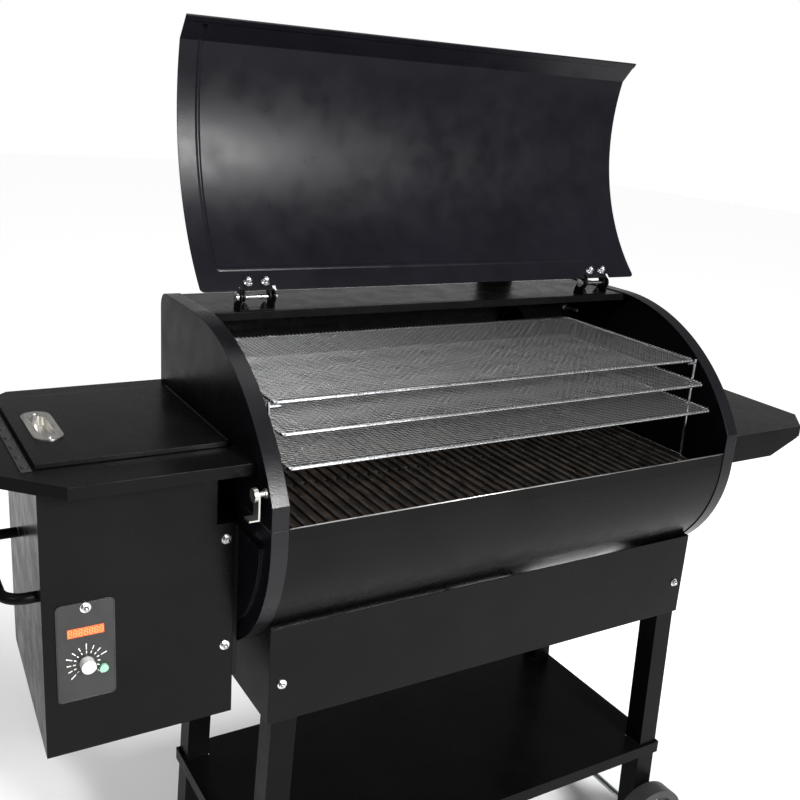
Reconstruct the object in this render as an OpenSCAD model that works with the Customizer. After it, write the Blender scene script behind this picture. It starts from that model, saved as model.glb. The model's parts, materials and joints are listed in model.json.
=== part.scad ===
// Pellet grill and smoker with a side hopper, a lift-up lid and three jerky racks.
// X runs left to right along the barrel, Y runs from its front to its rear, Z is up.
// Inside the modules, heights count from the opening line of the barrel, x from the
// middle of the barrel and y from its front. place() then sets the origin on the
// floor, under the middle of the whole grill.

/* [Barrel] */
// Width of the cooking barrel over its end caps
barrel_w = 920; // [800:1:1100]
// Depth of the barrel, front to rear
barrel_d = 490; // [470:1:540]
// Height of the flat crown above the opening line
crown_h = 238; // [225:1:260]
// Height of the shoulder where the end caps start to lean back
shoulder_h = 36; // [20:1:50]
// Depth of the straight wall under the opening line
belly_drop = 22; // [10:1:30]
// Radius of the leaning front of the end caps
crown_r = 368; // [360:1:400]
// Radius of the rear top corner
rear_r = 25; // [15:1:30]
// Width of the rolled rim of each end cap
rim_w = 26; // [20:1:32]
// Thickness of the barrel sheet
sheet = 1.5; // [1:0.1:2]
// Distance from the front to the edge of the fixed crown strip
strip_y = 312; // [300:1:325]

/* [Lid] */
// Width of the lid
lid_w = 906; // [880:1:912]
// Gap between the lid and the rims it covers
lid_gap = 6; // [4:0.5:8]
// Angle that the lid stands open at
lid_open = 138; // [120:1:140]
// Length of the lid's grab bar
lid_bar_l = 560; // [400:10:700]

/* [Racks] */
// Width of the jerky racks
rack_w = 846; // [780:1:850]
// Heights of the three racks above the opening line
rack_h = [74, 116, 154]; // [50:1:160]
// Distance from the barrel front to each rack's front bar
rack_y = [34, 60, 92]; // [30:1:110]
// Distance from the barrel front to the racks' rear bars
rack_rear = 462; // [420:1:470]
// Distance from rack bar to rack bar
rack_pitch = 24; // [18:1:40]

/* [Hopper] */
// Left edge of the hopper's top plate
hopper_left = -800; // [-830:1:-780]
// Front of the hopper's top plate
plate_front = 57; // [50:1:70]
// Height of the top plate above the opening line
plate_h = 82; // [70:1:95]
// Front of the hopper cabinet
cabinet_front = 100; // [85:1:110]
// Bottom of the cabinet, under the opening line
cabinet_drop = 340; // [300:1:360]

/* [Side shelf] */
// Outer edge of the side shelf
shelf_right = 720; // [660:1:760]
// Height of the side shelf above the opening line
shelf_h = 24; // [10:1:40]

/* [Stand] */
// Height of the opening line above the floor
opening_h = 905; // [860:1:950]
// Side of the square leg tubes
leg_s = 42; // [36:1:50]
// Angle that the legs lean outward by
leg_splay = 2.5; // [1:0.5:3]
// Radius of the two wheels
wheel_r = 80; // [70:1:90]

/* [Hidden] */
$fn = 64;

half_w = barrel_w / 2;
belly_r = barrel_d / 2;
mid_y = barrel_d / 2;
crown_cz = crown_h - crown_r;
crown_cy = sqrt(pow(crown_r, 2) - pow(shoulder_h - crown_cz, 2));
cap_t = 2;
shell_in = 2 * sheet;
hinge_y = strip_y + 8;
hinge_z = crown_h + 21;
hinge_x = 357;
lid_t = 1.6;
lid_low = -8;
lid_rear = strip_y + 7;
lid_bolt_y = strip_y - 8;
lid_bolt_x = 15;

chimney_x = 285;
chimney_y = barrel_d + 58;
chimney_cap_r = 62;
chimney_z = 150;
pipe_r = 37.8;
stub_r = 30.8;
chimney_l = 240;
drain_x = 330;
drain_z = -120;

grill_left = hopper_left;
grill_right = shelf_right;
grill_rear = chimney_y + chimney_cap_r;

leg_x = 405;
leg_ref = -334;
leg_top = -222;
leg_lean = tan(leg_splay);
apron_top = -183;
apron_low = -345;
apron_x = 434;
apron_in = 48.5;
axle_r = 6;
axle_z = wheel_r - opening_h;
shelf_low_h = -650;

auger_z = -170;
auger_r = 22;
auger_left = -700;
pot_r = 44;
auger_right = -pot_r - 0.4;
mouth = [-720, -512, 150, 412];

// Moves a module's own frame onto the floor, under the middle of the grill.
module place() {
    translate([-(grill_left + grill_right) / 2, -grill_rear / 2, opening_h])
        children();
}

// Extrudes a profile drawn in y and z from x0 to x1.
module along_x(x0, x1) {
    translate([x0, 0, 0]) rotate([90, 0, 90]) linear_extrude(x1 - x0) children();
}

// A box from one corner to the opposite one.
module box(a, b) {
    translate(a) cube(b - a);
}

// A cylinder along X, or Y, starting at p.
module rod_x(p, len, r) {
    translate(p) rotate([0, 90, 0]) cylinder(r = r, h = len);
}

module rod_y(p, len, r) {
    translate(p) rotate([-90, 0, 0]) cylinder(r = r, h = len);
}

// Draws its children and their mirror image at the other end of the barrel.
module both_ends() {
    children();
    mirror([1, 0, 0]) children();
}

// The barrel's side outline, moved inward by t.
module outline(t) {
    intersection() {
        translate([mid_y, -belly_drop]) circle(belly_r - t, $fn = 128);
        below();
    }
    difference() {
        intersection() {
            translate([t, -belly_drop]) square([barrel_d - 2 * t, crown_h + belly_drop - t]);
            union() {
                translate([crown_cy, crown_cz]) circle(crown_r - t, $fn = 128);
                translate([crown_cy, -belly_drop]) square([barrel_d, barrel_d]);
            }
        }
        translate([barrel_d - rear_r, crown_h - rear_r]) square(rear_r);
    }
    if (t < rear_r)
        translate([barrel_d - rear_r, crown_h - rear_r]) circle(rear_r - t);
}

// A sheet that follows the outline, between two insets.
module wall(outer, inner) {
    difference() {
        outline(outer);
        outline(inner);
    }
}

// Everything above, or below, the opening line.
module above() {
    translate([-50, 0]) square([barrel_d + 100, crown_h + 50]);
}

module below() {
    translate([-50, -2 * belly_r]) square([barrel_d + 100, 2 * belly_r]);
}

// A rectangle's corner point, or the two points left when it is cut by c.
function corner(x, y, dx, dy, c) =
    c > 0 ? [[x + dx * c, y], [x, y + dy * c]] : [[x, y]];

// A plate with its left corners cut back by cut_left and its right by cut_right.
module cut_plate(x0, x1, y0, y1, cut_left, cut_right) {
    polygon(concat(
        corner_back(corner(x0, y0, 1, 1, cut_left)), corner(x1, y0, -1, 1, cut_right),
        corner_back(corner(x1, y1, -1, -1, cut_right)), corner(x0, y1, 1, -1, cut_left)));
}

// The same corner's points in the other order.
function corner_back(points) = len(points) == 2 ? [points[1], points[0]] : points;

// ---- Stand ----

// How far a leg's middle stands from the middle of the grill at height z.
function leg_mid(side, z) = side * (leg_x + leg_lean * (leg_ref - z));

// A leaning square bar from z0 to z1, smaller by t on every side.
module leg_bar(side, y0, z0, z1, t) {
    half = leg_s / 2 - t;
    translate([0, y0 + leg_s - t, 0]) rotate([90, 0, 0]) linear_extrude(2 * half) polygon([
        [leg_mid(side, z0) - half, z0], [leg_mid(side, z0) + half, z0],
        [leg_mid(side, z1) + half, z1], [leg_mid(side, z1) - half, z1]]);
}

// A leg tube; side is -1 or 1, y0 its front face and z0 its closed lower end.
module leg(side, y0, z0) {
    wall_t = 2;
    difference() {
        leg_bar(side, y0, z0, leg_top, 0);
        leg_bar(side, y0, z0 + wall_t, leg_top + 1, wall_t);
    }
}

leg_y = [apron_in + sheet + 0.2, barrel_d - apron_in - sheet - 0.2 - leg_s];
foot_leg_end = -opening_h + 34;
wheel_leg_end = axle_z - 22;
axle_x = leg_mid(1, axle_z);

module wheeled_leg(y0) {
    difference() {
        leg(1, y0, wheel_leg_end);
        rod_y([axle_x, y0 - 1, axle_z], leg_s + 2, axle_r + 0.05);
    }
}

module leg_front_left() { color("#1c1c1e") leg(-1, leg_y[0], foot_leg_end); }
module leg_rear_left() { color("#1c1c1e") leg(-1, leg_y[1], foot_leg_end); }
module leg_front_right() { color("#1c1c1e") wheeled_leg(leg_y[0]); }
module leg_rear_right() { color("#1c1c1e") wheeled_leg(leg_y[1]); }

module apron_plate(y0) {
    box([-apron_x, y0, apron_low], [apron_x, y0 + sheet, apron_top]);
}

module apron_front() { color("#26262a") apron_plate(apron_in); }
module apron_rear() { color("#26262a") apron_plate(barrel_d - apron_in - sheet); }

// A cradle side, hollowed to the round belly that rests on it.
module apron_side() {
    along_x(apron_x - sheet, apron_x) difference() {
        translate([apron_in + sheet, apron_low])
            square([barrel_d - 2 * (apron_in + sheet), apron_top - apron_low]);
        translate([mid_y, -belly_drop]) circle(belly_r - sheet, $fn = 128);
    }
}

module apron_sides() { color("#26262a") both_ends() apron_side(); }

module bottom_shelf() {
    skirt_h = 25;
    lip = 1.5;
    x1 = 446;
    y0 = apron_in - 3;
    y1 = barrel_d - y0;
    top = shelf_low_h;
    slot_x = leg_mid(1, top) - leg_s / 2 - 2;
    color("#1f1f22") difference() {
        box([-x1, y0, top - skirt_h], [x1, y1, top]);
        box([-x1 + lip, y0 + lip, top - skirt_h - 1], [x1 - lip, y1 - lip, top - lip]);
        both_ends() for (y = leg_y)
            box([slot_x, y - 1, top - skirt_h - 2], [slot_x + leg_s + 5, y + leg_s + 1, top + 1]);
    }
}

// A foot's threaded stem and its pad, under each left leg.
module levelling_feet() {
    pad_r = 22;
    pad_h = 10;
    stem_r = 6;
    x = leg_mid(-1, foot_leg_end);
    color("#141414") for (y = leg_y) translate([x, y + leg_s / 2, -opening_h]) {
        cylinder(r = pad_r, h = pad_h);
        cylinder(r = stem_r, h = foot_leg_end + opening_h);
    }
}

module wheel_axle() {
    head_r = 10;
    head_h = 5;
    y0 = 8;
    color("#8d9093") {
        rod_y([axle_x, y0, axle_z], barrel_d - 2 * y0, axle_r);
        rod_y([axle_x, y0 - head_h, axle_z], head_h, head_r);
        rod_y([axle_x, barrel_d - y0, axle_z], head_h, head_r);
    }
}

// A wheel with a hub, a web with round lightening holes, and a tyre.
module wheel(y0) {
    width = 34;
    hub_r = 18;
    web = 8;
    rim = 16;
    hole_r = 11;
    holes = 6;
    color("#1a1a1a") translate([axle_x, y0, axle_z]) rotate([-90, 0, 0]) difference() {
        union() {
            difference() {
                cylinder(r = wheel_r, h = width, $fn = 128);
                translate([0, 0, -1]) cylinder(r = wheel_r - rim, h = width + 2, $fn = 128);
            }
            translate([0, 0, (width - web) / 2]) cylinder(r = wheel_r - rim + 1, h = web);
            cylinder(r = hub_r, h = width);
        }
        translate([0, 0, -1]) cylinder(r = axle_r + 0.06, h = width + 2);
        for (i = [0 : holes - 1]) rotate([0, 0, i * 360 / holes])
            translate([(wheel_r - rim + hub_r) / 2, 0, 0]) cylinder(r = hole_r, h = width);
    }
}

module wheel_front() { wheel(10); }
module wheel_rear() { wheel(barrel_d - 44); }

// ---- Barrel ----

module barrel_shell() {
    hem = 12;
    lip = 12;
    end = half_w - cap_t;
    color("#2b2b30") difference() {
        along_x(-end, end) {
            difference() {
                wall(sheet, shell_in);
                translate([-50, 0]) square([strip_y + 50, crown_h + 50]);
            }
            translate([shell_in, -hem]) square([sheet, hem]);
            translate([strip_y, crown_h - shell_in - lip]) square([sheet, lip]);
        }
        translate([0, mid_y, -barrel_d]) cylinder(r = 46, h = barrel_d / 2);
        rod_y([chimney_x, barrel_d - 10, chimney_z], 20, stub_r + 0.2);
        rod_y([drain_x, barrel_d - 50, drain_z], 60, 19);
        rod_y([430, barrel_d - 10, 174], 20, 3);
    }
}

// The upper part of an end: its face, and the rim that the lid closes on.
module end_cap() {
    along_x(half_w - cap_t, half_w) intersection() {
        outline(0);
        above();
    }
    along_x(half_w - rim_w, half_w - cap_t) intersection() {
        wall(0, sheet);
        above();
    }
}

// The lower part of an end, with a raised field pressed into its face.
module end_panel(auger) {
    field_in = 26;
    field_out = 5;
    difference() {
        union() {
            along_x(half_w - cap_t, half_w) intersection() {
                outline(0);
                below();
            }
            along_x(half_w - rim_w, half_w - cap_t) intersection() {
                wall(0, sheet);
                below();
            }
            along_x(half_w, half_w + field_out) pressed_field(field_in);
        }
        along_x(half_w - cap_t - 1, half_w + field_out - cap_t) pressed_field(field_in + 3);
        if (auger) {
            rod_x([half_w - 20, mid_y, auger_z], 40, auger_r + 0.3);
            box([half_w - 20, mid_y - 35.2, -250.2], [half_w + 20, mid_y + 35.2, -195.8]);
        }
    }
}

module pressed_field(inset) {
    intersection() {
        outline(inset);
        translate([0, -belly_drop - belly_r]) square([barrel_d, belly_r - inset / 2]);
    }
}

module end_cap_right() { color("#26262a") end_cap(); }
module end_cap_left() { color("#26262a") mirror([1, 0, 0]) end_cap(); }
module end_panel_right() { color("#26262a") end_panel(false); }
module end_panel_left() { color("#26262a") mirror([1, 0, 0]) end_panel(true); }

grate_y = [30, barrel_d - 30];
grate_top = -36;
grate_bar = 6;

tray_low = -92;
tray_tilt = 1.2;
tray_half = half_w - 14;

// Angle ledges inside the front and rear walls, which the grate lies on, and a
// short bracket at each end that holds the grease tray.
module grate_ledges() {
    reach = 30;
    gap = 0.3;
    x1 = half_w - cap_t - 1;
    y0 = shell_in + sheet;
    z = grate_top - 2 * grate_bar + 1 - gap;
    color("#3a3a3c") {
        for (m = [0, 1]) translate([0, m * barrel_d, 0]) mirror([0, m, 0]) {
            box([-x1, y0, z - sheet], [x1, y0 + reach, z]);
            box([-x1, y0, z], [x1, y0 + sheet, z + 10]);
        }
        tray_rest(-1, tray_low + (tray_half - 20) * sin(tray_tilt) - gap);
        tray_rest(1, tray_low - tray_half * sin(tray_tilt) - gap);
    }
}

// An angle on the inside of an end; its top is at z.
module tray_rest(side, z) {
    x1 = half_w - cap_t;
    mirror([side < 0 ? 1 : 0, 0, 0]) {
        box([tray_half - 20, mid_y - 100, z - sheet], [x1, mid_y + 100, z]);
        box([x1 - sheet, mid_y - 100, z - 15], [x1, mid_y + 100, z]);
    }
}

// ---- Side shelf ----

// The shelf and its skirt, which is deeper beside the barrel at front and rear.
module side_shelf() {
    cut = 60;
    skirt_h = 20;
    deep = -27;
    y = [14, 436];
    x0 = half_w + 0.5;
    color("#3a3a3e") {
        translate([0, 0, shelf_h - skirt_h]) difference() {
            linear_extrude(skirt_h) cut_plate(x0, shelf_right, y[0], y[1], 0, cut);
            translate([0, 0, -1]) linear_extrude(skirt_h + 1 - sheet) cut_plate(
                x0 + sheet, shelf_right - sheet, y[0] + sheet, y[1] - sheet, 0, cut - sheet * 0.6);
        }
        for (y1 = [y[0] + 2, y[1]]) translate([0, y1, 0]) rotate([90, 0, 0])
            linear_extrude(2) polygon([
                [x0, shelf_h - 1], [x0, deep], [585, deep], [655, 2], [655, shelf_h - 1]]);
    }
}

// The bright cap nuts that hold the aprons, the hopper and the control panel.
module panel_bolts() {
    color("#dcdedf") {
        for (x = [-413, 413]) face_nut(x, apron_in, -279);
        for (z = [-48, -222]) face_nut(-486, cabinet_front, z);
        face_nut(panel_mid, cabinet_front - 2, -113);
    }
}

// A cap nut on a face that looks to the front.
module face_nut(x, y, z) {
    translate([x, y, z]) rotate([90, 0, 0]) cap_nut(4);
}

// ---- Hopper ----

// The cabinet's plan, moved inward by t.
module cabinet_plan(t) {
    rear = 440;
    polygon([
        [-745 + t, cabinet_front + t], [-500 - t, cabinet_front + t],
        [-500 - t, rear - t], [-727 + t, rear - t]]);
}

module hopper_cabinet() {
    top = plate_h - sheet - 0.3;
    color("#242428") {
        difference() {
            translate([0, 0, -cabinet_drop]) linear_extrude(top + cabinet_drop) cabinet_plan(0);
            translate([0, 0, -cabinet_drop + sheet])
                linear_extrude(top + cabinet_drop) cabinet_plan(sheet);
            rod_x([-520, mid_y, auger_z], 40, auger_r + 0.3);
            box([-520, mid_y - 35.2, -250.2], [-490, mid_y + 35.2, -195.8]);
            for (p = [knob_p, button_p]) rod_y([p[0], cabinet_front - 5, p[1]], 10, 7);
            for (i = [0 : 5]) box([-600 + i * 14, 430, -300], [-592 + i * 14, 450, -250]);
        }
        box([-500, cabinet_front, -cabinet_drop], [-473, cabinet_front + sheet, -24]);
    }
}

// The frame that holds the hopper away from the hot barrel.
module hopper_standoff() {
    x0 = -499.5;
    x1 = -half_w - 5.2;
    z0 = -280;
    z1 = -30;
    color("#1a1a1c") difference() {
        box([x0, cabinet_front + 4, z0], [x1, 400, z1]);
        box([x0 - 1, cabinet_front + 6, z0 + 2], [x1 + 1, 398, z1 - 2]);
    }
}

module hopper_top_plate() {
    skirt_h = 18;
    cut = 85;
    y1 = barrel_d;
    x1 = -half_w - 0.5;
    color("#2c2a26") difference() {
        translate([0, 0, plate_h - skirt_h])
            linear_extrude(skirt_h) cut_plate(hopper_left, x1, plate_front, y1, cut, 0);
        translate([0, 0, plate_h - skirt_h - 1]) linear_extrude(skirt_h + 1 - sheet)
            cut_plate(hopper_left + sheet, x1 - sheet, plate_front + sheet, y1 - sheet,
                cut - sheet * 0.6, 0);
        box([mouth[0], mouth[2], plate_h - 5], [mouth[1], mouth[3], plate_h + 5]);
    }
}

// A straight-walled mouth over a funnel that ends at the auger.
module bin_solid(t) {
    top = plate_h - sheet - 0.3 + t;
    knee = -20;
    low = auger_z + auger_r + 12;
    box([mouth[0] + 1 + t, mouth[2] + 1 + t, knee], [mouth[1] - 1 - t, mouth[3] - 1 - t, top]);
    hull() {
        box([mouth[0] + 1 + t, mouth[2] + 1 + t, knee],
            [mouth[1] - 1 - t, mouth[3] - 1 - t, knee + 0.5]);
        box([-690 + t, mid_y - 24 + t, low], [-600 - t, mid_y + 24 - t, low + 0.5]);
    }
}

module hopper_bin() {
    color("#6f7276") difference() {
        bin_solid(0);
        bin_solid(1.2);
        box([-688, mid_y - 22, auger_z], [-602, mid_y + 22, knee_cut]);
    }
}

knee_cut = auger_z + auger_r + 14;
lid_x = [-740, -467];
lid_y = [131, 429];
hopper_lid_t = 7;
hopper_hinge_x = lid_x[1] - 4;
hopper_hinge_z = plate_h + 5;
knuckle = 24;
knuckle_r = 3.2;
knuckle_pin_r = 1.5;
pull_x = -701;
pull_y = 281;

// The lid, with every other knuckle of its hinge.
module hopper_lid() {
    z0 = plate_h + 1;
    skin = 1.5;
    x1 = lid_x[1] - 8;
    color("#2a2824") {
        difference() {
            box([lid_x[0], lid_y[0], z0], [x1, lid_y[1], z0 + hopper_lid_t]);
            box([lid_x[0] + skin, lid_y[0] + skin, z0 - 1],
                [x1 - skin, lid_y[1] - skin, z0 + hopper_lid_t - skin]);
            translate([pull_x, pull_y, z0 - 1]) linear_extrude(20) stadium(13, 44);
        }
        difference() {
            for (i = [0 : 5]) translate([0, lid_y[0] + 6.3 + (2 * i + 1) * knuckle, 0]) {
                rod_y([hopper_hinge_x, 0, hopper_hinge_z], knuckle - 0.6, knuckle_r);
                box([x1 - 0.5, 0, hopper_hinge_z - 1.5],
                    [hopper_hinge_x, knuckle - 0.6, hopper_hinge_z + 1.5]);
            }
            rod_y([hopper_hinge_x, lid_y[0], hopper_hinge_z], 320, knuckle_pin_r + 0.06);
        }
    }
}

// A long round-ended shape along Y.
module stadium(r, half_l) {
    square([2 * r, 2 * (half_l - r)], center = true);
    for (s = [-1, 1]) translate([0, s * (half_l - r)]) circle(r);
}

// The sunk steel cup in the hopper lid that the fingers lift it by.
module hopper_lid_pull() {
    z0 = plate_h + 1 + hopper_lid_t;
    color("#a9a69c") translate([pull_x, pull_y, z0]) {
        difference() {
            linear_extrude(1.5) stadium(21, 65);
            translate([0, 0, -1]) linear_extrude(4) stadium(11, 42);
        }
        translate([0, 0, -14]) difference() {
            linear_extrude(14) stadium(12.4, 43.4);
            translate([0, 0, 1.2]) linear_extrude(14) stadium(11, 42);
        }
        for (s = [-1, 1]) translate([0, s * 54, 1.5]) cylinder(r = 4, h = 1.5);
    }
}

// The piano hinge's fixed knuckles with their leaf, and the pin through them all.
module hopper_lid_hinge() {
    color("#1b1b1c") {
        for (i = [0 : 5]) translate([0, lid_y[0] + 6 + 2 * i * knuckle, 0]) {
            rod_y([hopper_hinge_x, 0, hopper_hinge_z], knuckle, knuckle_r);
            box([hopper_hinge_x, 0, plate_h], [hopper_hinge_x + 8, knuckle, plate_h + 2.4]);
        }
        rod_y([hopper_hinge_x, lid_y[0] + 6, hopper_hinge_z], 12 * knuckle, knuckle_pin_r);
    }
}

// A rubber strip with round buffers beside the lid's free edge.
module buffer_strip() {
    pitch = 40;
    color("#101010") {
        box([-758, 128, plate_h], [-744, 372, plate_h + 1.5]);
        for (i = [0 : 5]) translate([-751, 140 + i * pitch, plate_h + 1.5]) cylinder(r = 4.5, h = 2.5);
    }
}

// A bent tube handle on the cabinet's left side.
module push_handle() {
    r = 8;
    bend = 30;
    out = -789;
    y0 = 122;
    y1 = 336;
    z = -96;
    color("#1a1a1b") {
        rod_x([out + bend, y0, z], -744.3 - out - bend, r);
        rod_x([out + bend, y1, z], -733 - out - bend, r);
        rod_y([out, y0 + bend, z], y1 - y0 - 2 * bend, r);
        translate([out + bend, y0 + bend, z]) rotate([0, 0, 180])
            rotate_extrude(angle = 90) translate([bend, 0]) circle(r);
        translate([out + bend, y1 - bend, z]) rotate([0, 0, 90])
            rotate_extrude(angle = 90) translate([bend, 0]) circle(r);
    }
}

// ---- Controls ----

panel_x = [-728, -648];
panel_mid = (panel_x[0] + panel_x[1]) / 2;
panel_z = [-256, -105];
knob_p = [panel_mid, -199];
button_p = [panel_mid + 23, -212];

module control_panel() {
    t = 2;
    r = 7;
    y = cabinet_front;
    color("#1d1d1f") difference() {
        union() {
            translate([0, y, 0]) rotate([90, 0, 0]) linear_extrude(t) difference() {
                rounded(panel_x, panel_z, r);
                translate([-713, -157]) square([50, 14]);
            }
            box([-722, y + sheet + 0.2, -250], [-654, y + 40, -112]);
        }
        rod_y([knob_p[0], y - 5, knob_p[1]], 30, 3.06);
        rod_y([button_p[0], y - 5, button_p[1]], 14, 6.3);
    }
}

module rounded(x, z, r) {
    for (cx = [x[0] + r, x[1] - r], cz = [z[0] + r, z[1] - r]) translate([cx, cz]) circle(r);
    translate([x[0] + r, z[0]]) square([x[1] - x[0] - 2 * r, z[1] - z[0]]);
    translate([x[0], z[0] + r]) square([x[1] - x[0], z[1] - z[0] - 2 * r]);
}

module display_window() {
    color("#ff5a1e") box([-712.8, cabinet_front - 1.8, -156.8], [-663.2, cabinet_front - 0.2, -143.2]);
}

// The dial's knob and its shaft into the panel.
module control_knob() {
    r = 10;
    y = cabinet_front - 2.4;
    color("#c9c9c4") difference() {
        union() {
            rod_y([knob_p[0], y - 14, knob_p[1]], 14, r);
            rod_y([knob_p[0], y - 1, knob_p[1]], 20, 3);
        }
        box([knob_p[0] - 1, y - 15, knob_p[1] + 3], [knob_p[0] + 1, y - 13.2, knob_p[1] + r + 1]);
    }
}

module power_button() {
    y = cabinet_front - 2;
    color("#2f9b57") rod_y([button_p[0], y - 4, button_p[1]], 9, 6);
}

// ---- Auger, fan and fire ----

module auger_tube() {
    t = 1.5;
    collar_low = auger_z + 8;
    color("#9a9c9e") difference() {
        union() {
            rod_x([auger_left, mid_y, auger_z], auger_right - auger_left, auger_r);
            box([-692, mid_y - 26, collar_low], [-598, mid_y + 26, auger_z + auger_r + 11.7]);
        }
        rod_x([auger_left + 6, mid_y, auger_z], auger_right - auger_left, auger_r - t);
        rod_x([auger_left - 1, mid_y, auger_z], 10, 5.06);
        box([-688, mid_y - 22, auger_z], [-602, mid_y + 22, auger_z + auger_r + 14]);
    }
}

auger_turns = 16;
auger_screw_l = 618;

// The screw: a shaft with one flight wound round it.
module auger_screw() {
    flight_r = 18.5;
    shaft_r = 5;
    color("#7d7f81") {
        rod_x([auger_left - 14, mid_y, auger_z], auger_screw_l + 34, shaft_r);
        translate([auger_left + 14, mid_y, auger_z]) rotate([0, 90, 0])
            linear_extrude(auger_screw_l, twist = -360 * auger_turns,
                    slices = auger_turns * 14, segments = 4)
                translate([flight_r / 2 + 2, 0]) square([flight_r - 3, 5], center = true);
    }
}

module auger_motor() {
    color("#4a4c4e") difference() {
        union() {
            rod_x([-726, mid_y, auger_z], 12, 22);
            box([-714, mid_y - 30, auger_z - 30], [-702, mid_y + 30, auger_z + 30]);
        }
        rod_x([-720, mid_y, auger_z], 30, 5.06);
    }
}

// The duct that carries the fan's air under the auger to the fire pot.
module air_duct() {
    t = 1.2;
    half = 35;
    z = [-250, -196];
    x = [-520, -pot_r - 3];
    color("#84878a") difference() {
        box([x[0], mid_y - half, z[0]], [x[1], mid_y + half, z[1]]);
        box([x[0] - 1, mid_y - half + t, z[0] + t], [x[1] + 1, mid_y + half - t, z[1] - t]);
    }
}

fan_w = 40;
fan_p = [-620, mid_y - fan_w / 2, -280];

// The snail housing of the fan, open at its eye and at its outlet, with its motor.
module fan_housing() {
    r = 52;
    t = 1.5;
    rear = fan_p[1] + fan_w;
    outlet = [fan_p[2] + r - 20, fan_p[2] + r];
    color("#55585a") difference() {
        union() {
            rod_y(fan_p, fan_w, r);
            box([fan_p[0], fan_p[1], outlet[0]], [-518, rear, outlet[1]]);
            rod_y([fan_p[0], rear, fan_p[2]], 16, 20);
        }
        rod_y([fan_p[0], fan_p[1] + t, fan_p[2]], fan_w - 2 * t, r - t);
        box([fan_p[0], fan_p[1] + t, outlet[0] + t], [-517, rear - t, outlet[1] - t]);
        rod_y([fan_p[0], fan_p[1] - 1, fan_p[2]], 10, 30);
        rod_y([fan_p[0], rear - 5, fan_p[2]], 15, 4.06);
    }
}

// The blower's drum of blades on its shaft.
module fan_rotor() {
    blades = 20;
    drum_r = 42;
    w = 30;
    color("#8d9093") translate(fan_p + [0, 4, 0]) rotate([-90, 0, 0]) {
        cylinder(r = drum_r, h = 2);
        translate([0, 0, 2]) cylinder(r = 4, h = w + 12);
        for (i = [0 : blades - 1]) rotate([0, 0, i * 360 / blades])
            translate([drum_r - 9, -0.6, 2]) cube([8, 1.2, w - 4]);
    }
}

pot_low = -262;
pot_top = -150;

module fire_pot() {
    t = 2;
    color("#5d5a57") difference() {
        translate([0, mid_y, pot_low]) cylinder(r = pot_r, h = pot_top - pot_low);
        translate([0, mid_y, pot_low - 1]) cylinder(r = pot_r - t, h = pot_top - pot_low + 2);
        rod_x([-pot_r - 10, mid_y, auger_z - 4], 20, 16);
        for (i = [0 : 11]) translate([0, mid_y, -215]) rotate([0, 0, 15 + i * 30])
            rod_x([pot_r - 10, 0, 0], 20, 2.5);
        rod_y([0, mid_y - pot_r - 5, -228], 20, 5.06);
    }
}

module igniter_rod() {
    color("#b7b2aa") rod_y([0, mid_y - pot_r - 60, -228], 75, 5);
}

// The cup under the fire pot that ash falls into; it drops out by its rod.
module ash_cup() {
    r = 44.5;
    t = 1.5;
    color("#3c3b3a") {
        difference() {
            translate([0, mid_y, -334]) cylinder(r = r, h = 68);
            translate([0, mid_y, -334 + t]) cylinder(r = r - t, h = 80);
        }
        rod_y([0, mid_y - r - 70, -326], 71, 4);
        translate([0, mid_y - r - 76, -326]) sphere(9);
    }
}

// A folded steel roof over the fire pot, on four short legs.
module heat_deflector() {
    z = -126;
    color("#4b4744") {
        along_x(-120, 120) polygon([
            [mid_y - 90, z - 12], [mid_y, z + 10], [mid_y + 90, z - 12],
            [mid_y + 90, z - 15], [mid_y, z + 7], [mid_y - 90, z - 15]]);
        for (x = [-110, 106], y = [mid_y - 88, mid_y + 86])
            box([x, y, z - 120], [x + 4, y + 2, z - 12.4]);
    }
}

// The grease tray over the deflector, which slopes down to the rear right.
module drip_tray() {
    t = 1.5;
    rim_h = 16;
    x1 = tray_half;
    color("#393735") translate([0, 0, tray_low]) rotate([0, tray_tilt, 0]) difference() {
        box([-x1, 36, 0], [x1, barrel_d - 36, rim_h]);
        box([-x1 + t, 36 + t, t], [x1 - t, barrel_d - 36 - t, rim_h + 1]);
        box([drain_x - 12, barrel_d - 46, -1], [drain_x + 12, barrel_d - 38, t + 1]);
    }
}

// The porcelain-coated grate: bars front to rear on three cross bars.
module cooking_grate() {
    bar = grate_bar;
    pitch = 20;
    n = floor((barrel_w - 60) / pitch);
    x1 = n * pitch / 2;
    color("#1b1b1b") {
        for (i = [0 : n]) box(
            [-x1 + i * pitch - bar / 2, grate_y[0] - 12, grate_top - bar],
            [-x1 + i * pitch + bar / 2, grate_y[1] + 12, grate_top]);
        for (y = [grate_y[0], mid_y, grate_y[1]])
            box([-x1, y - bar / 2, grate_top - 2 * bar + 1], [x1, y + bar / 2, grate_top - bar + 1]);
    }
}

// ---- Jerky racks ----

post_y = [96, 432];
stand_x = rack_w / 2 + 5;

// The two wire frames, one at each end, that the racks lie on.
module rack_stands() {
    r = 2.5;
    foot = grate_top + 0.3 + r;
    top = rack_h[2] + 2;
    color("#c9ccd0") both_ends() {
        for (y = post_y) {
            translate([stand_x, y, foot]) cylinder(r = r, h = top - foot);
            for (h = rack_h) rod_x([rack_w / 2 - 12, y, h - 5.6], 17, r);
        }
        rod_y([stand_x, post_y[0], foot], post_y[1] - post_y[0], r);
    }
}

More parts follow.
